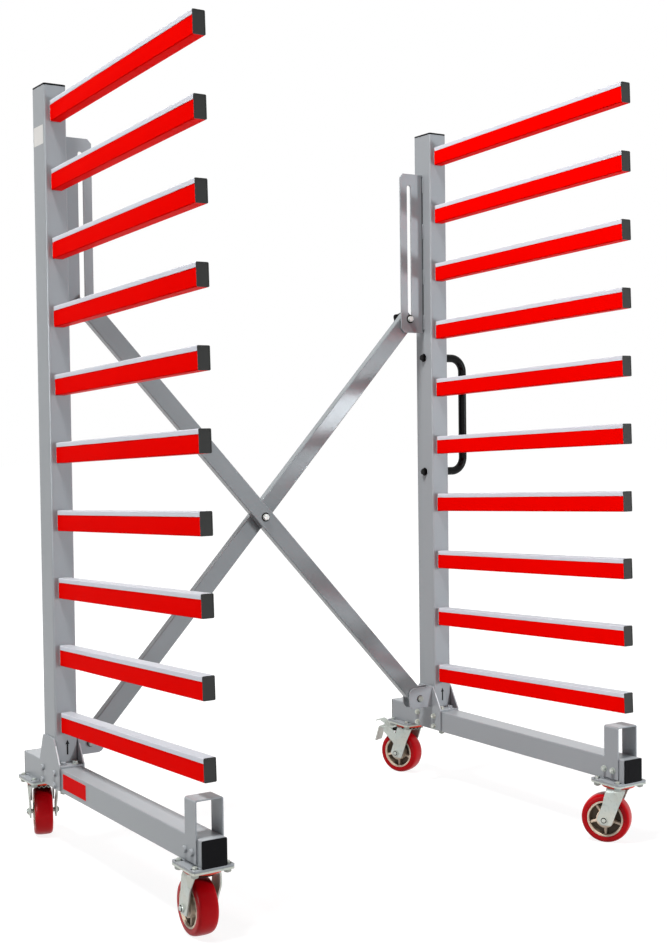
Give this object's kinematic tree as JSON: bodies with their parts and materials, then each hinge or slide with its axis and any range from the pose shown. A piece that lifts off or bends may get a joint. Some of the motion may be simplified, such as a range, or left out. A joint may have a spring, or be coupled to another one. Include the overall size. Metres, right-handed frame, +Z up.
{
  "type": "sheet goods cart",
  "caption": "Rolling cart for boards: two caster-mounted posts with rows of tilted red arms, joined by a folding scissor brace, with a pull handle on one post.",
  "frame": {"origin": "on the floor, under the centre of the cart's bounding box", "axes": "+Z up, +X from the left frame to the right frame, the arms point to the front along -Y"},
  "size_m": [1.3926, 1.0926, 1.9634],
  "materials": {
    "grey_paint": "satin powder coat",
    "red_paint": "satin powder coat",
    "black_plastic": "fine grain",
    "black_paint": "gloss",
    "zinc": "zinc plated",
    "wheel_core": "moulded",
    "tread": "smooth polyurethane",
    "wear_strip": "extruded, satin"
  },
  "bodies": {
    "left_frame": {"base_tube_left": "grey_paint", "base_plug_left": "black_plastic", "post_shoe_left": "grey_paint", "post_left": "grey_paint", "post_cap_left": "black_plastic", "slot_plate_left": "grey_paint", "stop_bracket_left": "grey_paint", "pivot_bolt_left": "zinc", "caster_plate_front_left": "zinc", "caster_plate_rear_left": "zinc", "arm_left_01": "red_paint", "arm_left_02": "red_paint", "arm_left_03": "red_paint", "arm_left_04": "red_paint", "arm_left_05": "red_paint", "arm_left_06": "red_paint", "arm_left_07": "red_paint", "arm_left_08": "red_paint", "arm_left_09": "red_paint", "arm_left_10": "red_paint"},
    "brace_rear": {"brace_bar_rear": "grey_paint", "slide_bolt_right": "zinc", "crossing_bolt": "zinc"},
    "brace_front": {"brace_bar_front": "grey_paint", "slide_bolt_left": "zinc"},
    "right_frame": {"base_tube_right": "grey_paint", "base_plug_right": "black_plastic", "post_shoe_right": "grey_paint", "post_right": "grey_paint", "post_cap_right": "black_plastic", "slot_plate_right": "grey_paint", "stop_bracket_right": "grey_paint", "pivot_bolt_right": "zinc", "caster_plate_front_right": "zinc", "caster_plate_rear_right": "zinc", "arm_right_01": "red_paint", "arm_right_02": "red_paint", "arm_right_03": "red_paint", "arm_right_04": "red_paint", "arm_right_05": "red_paint", "arm_right_06": "red_paint", "arm_right_07": "red_paint", "arm_right_08": "red_paint", "arm_right_09": "red_paint", "arm_right_10": "red_paint", "pull_handle": "black_paint"},
    "swivel_front_left": {"caster_fork_front_left": "zinc"},
    "wheel_front_left": {"wheel_core_front_left": "wheel_core", "wheel_tread_front_left": "tread"},
    "swivel_rear_left": {"caster_fork_rear_left": "zinc"},
    "wheel_rear_left": {"wheel_core_rear_left": "wheel_core", "wheel_tread_rear_left": "tread"},
    "brake_rear_left": {"brake_pedal_rear_left": "zinc"},
    "swivel_front_right": {"caster_fork_front_right": "zinc"},
    "wheel_front_right": {"wheel_core_front_right": "wheel_core", "wheel_tread_front_right": "tread"},
    "swivel_rear_right": {"caster_fork_rear_right": "zinc"},
    "wheel_rear_right": {"wheel_core_rear_right": "wheel_core", "wheel_tread_rear_right": "tread"},
    "brake_rear_right": {"brake_pedal_rear_right": "zinc"}
  },
  "joints": [
    {"name": "fold", "type": "hinge", "parent": "left_frame", "child": "brace_rear", "pos_m": [-0.56475, 0.29553, 0.26659], "axis": [0, -1, 0], "range_deg": [0, 34]},
    {"name": "brace_crossing", "type": "hinge", "parent": "brace_rear", "child": "brace_front", "pos_m": [-0.03925, 0.29553, 0.83809], "axis": [0, -1, 0], "range_deg": [-68, 0]},
    {"name": "right_frame_pivot", "type": "hinge", "parent": "brace_front", "child": "right_frame", "pos_m": [0.48625, 0.29553, 0.26659], "axis": [0, -1, 0], "range_deg": [0, 34]},
    {"name": "swivel_front_left", "type": "hinge", "parent": "left_frame", "child": "swivel_front_left", "pos_m": [-0.64625, -0.49147, 0.15], "axis": [0, 0, 1], "continuous": true},
    {"name": "roll_front_left", "type": "hinge", "parent": "swivel_front_left", "child": "wheel_front_left", "pos_m": [-0.64463, -0.46051, 0.06319], "axis": [-0.9986, 0.0523, 0], "continuous": true},
    {"name": "swivel_rear_left", "type": "hinge", "parent": "left_frame", "child": "swivel_rear_left", "pos_m": [-0.64625, 0.42753, 0.15], "axis": [0, 0, 1], "continuous": true},
    {"name": "roll_rear_left", "type": "hinge", "parent": "swivel_rear_left", "child": "wheel_rear_left", "pos_m": [-0.63667, 0.45701, 0.06319], "axis": [-0.9511, 0.309, 0], "continuous": true},
    {"name": "brake_rear_left", "type": "hinge", "parent": "swivel_rear_left", "child": "brake_rear_left", "pos_m": [-0.62493, 0.49315, 0.13319], "axis": [-0.9511, 0.309, 0], "range_deg": [0, 16]},
    {"name": "swivel_front_right", "type": "hinge", "parent": "right_frame", "child": "swivel_front_right", "pos_m": [0.56775, -0.49147, 0.15], "axis": [0, 0, 1], "continuous": true},
    {"name": "roll_front_right", "type": "hinge", "parent": "swivel_front_right", "child": "wheel_front_right", "pos_m": [0.54997, -0.46608, 0.06319], "axis": [-0.8192, -0.5736, 0], "continuous": true},
    {"name": "swivel_rear_right", "type": "hinge", "parent": "right_frame", "child": "swivel_rear_right", "pos_m": [0.56775, 0.42753, 0.15], "axis": [0, 0, 1], "continuous": true},
    {"name": "roll_rear_right", "type": "hinge", "parent": "swivel_rear_right", "child": "wheel_rear_right", "pos_m": [0.55564, 0.45607, 0.06319], "axis": [-0.9205, -0.3907, 0], "continuous": true},
    {"name": "brake_rear_right", "type": "hinge", "parent": "swivel_rear_right", "child": "brake_rear_right", "pos_m": [0.54079, 0.49105, 0.13319], "axis": [-0.9205, -0.3907, 0], "range_deg": [0, 16]}
  ],
  "couplings": [
    {"joint": "brace_crossing", "follows": "fold", "ratio": -2},
    {"joint": "right_frame_pivot", "follows": "fold", "ratio": 1}
  ]
}
